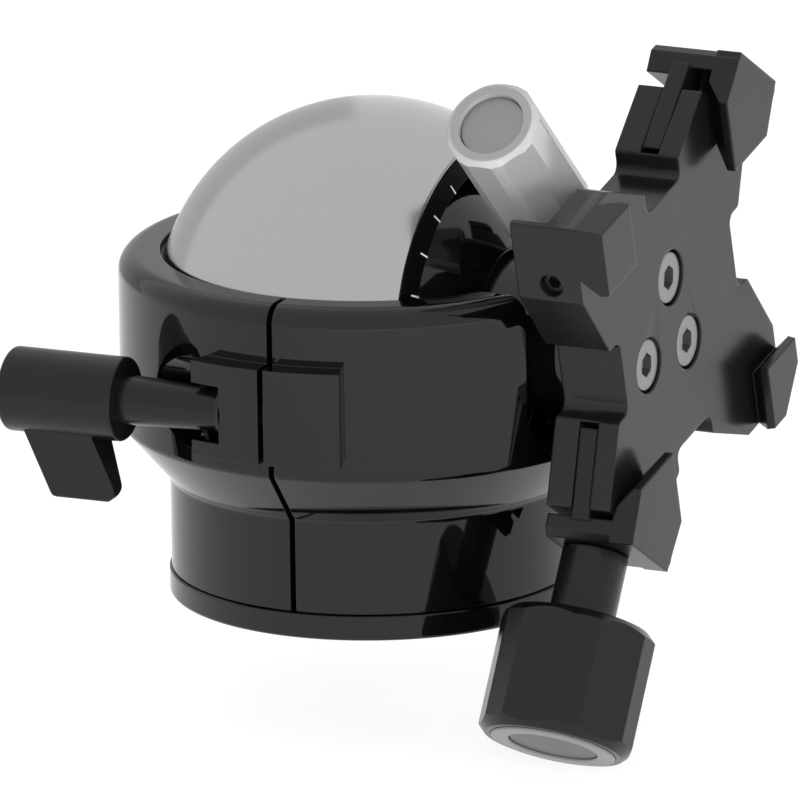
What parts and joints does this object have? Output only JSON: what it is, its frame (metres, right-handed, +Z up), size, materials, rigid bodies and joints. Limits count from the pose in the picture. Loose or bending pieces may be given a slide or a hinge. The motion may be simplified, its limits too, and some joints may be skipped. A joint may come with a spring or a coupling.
{
  "type": "lever ball head",
  "caption": "Tripod ball head with a split housing squeezed by a lever, a ball inside a ball, a side lock knob and a cross shaped quick-release clamp with screw driven jaws.",
  "frame": {"origin": "centre of the base underside, at the mouth of the tripod thread", "axes": "+Z up along the base axis, +X out through the portrait notch along the neck, as posed in the picture"},
  "size_m": [0.097, 0.0836, 0.1022],
  "materials": {
    "body_black": "satin",
    "ball_grey": "satin",
    "ring_black": "matte",
    "plate_black": "matte",
    "knob_black": "satin",
    "silver": "polished",
    "steel": "satin",
    "steel_black": "satin",
    "liner": "matte",
    "brass": "satin"
  },
  "bodies": {
    "stand": {"base_plate": "body_black", "tripod_insert": "steel", "base_screws": "steel_black", "housing": "body_black", "seat_ring": "steel", "ball_seat": "liner", "socket_liner": "liner", "clamp_insert": "brass", "lever_washer": "steel"},
    "lever": {"lever_screw": "steel_black", "lever_handle": "knob_black", "lever_end_screw": "steel_black"},
    "large_ball": {"outer_ball": "ball_grey", "scale_ring": "ring_black", "liner_pins": "steel"},
    "liner_ring": {"inner_liner": "liner"},
    "head": {"inner_ball": "body_black", "neck": "body_black", "brake_rod": "steel", "brake_shoe": "brass", "clamp_plate": "plate_black", "plate_screws": "steel", "arm_set_screw": "steel_black"},
    "lock": {"lock_screw": "steel", "lock_knob": "silver", "lock_cap": "silver"},
    "jaw_upper": {"upper_jaw": "plate_black"},
    "jaw_lower": {"lower_jaw": "plate_black"},
    "screw": {"clamp_screw": "steel_black", "screw_clip": "steel", "clamp_knob": "knob_black", "knob_cap": "silver", "knob_disc": "silver", "knob_set_screw": "steel_black"}
  },
  "joints": [
    {"name": "lever_turn", "type": "hinge", "parent": "stand", "child": "lever", "pos_m": [0.00148, -0.03757, 0.0363], "axis": [-0.9992, -0.0393, 0], "range_deg": [-20, 100]},
    {"name": "outer_tilt", "type": "hinge", "parent": "stand", "child": "large_ball", "pos_m": [0, 0, 0.0426], "axis": [0, 1, 0], "range_deg": [-90, 0]},
    {"name": "inner_tilt", "type": "hinge", "parent": "large_ball", "child": "liner_ring", "pos_m": [0, 0, 0.0426], "axis": [0, 0, 1], "range_deg": [-8, 8]},
    {"name": "inner_pan", "type": "hinge", "parent": "liner_ring", "child": "head", "pos_m": [0, 0, 0.0426], "axis": [1, 0, 0], "range_deg": [-25, 20]},
    {"name": "lock_turn", "type": "hinge", "parent": "head", "child": "lock", "pos_m": [0.031, 0.00816, 0.05126], "axis": [0, -0.7278, 0.6858], "range_deg": [-180, 180]},
    {"name": "upper_slide", "type": "slide", "parent": "head", "child": "jaw_upper", "axis": [0, 0.518, 0.8554], "range_m": [-0.0006, 0.005]},
    {"name": "lower_slide", "type": "slide", "parent": "head", "child": "jaw_lower", "axis": [0, -0.518, -0.8554], "range_m": [-0.0006, 0.005]},
    {"name": "clamp_turn", "type": "hinge", "parent": "jaw_lower", "child": "screw", "pos_m": [0.04415, 0.0037, 0.0463], "axis": [0, -0.518, -0.8554], "range_deg": [-144, 1200]}
  ],
  "couplings": [
    {"joint": "lower_slide", "follows": "clamp_turn", "m_per_rad": 0.0002387},
    {"joint": "upper_slide", "follows": "clamp_turn", "m_per_rad": 0.0002387}
  ]
}
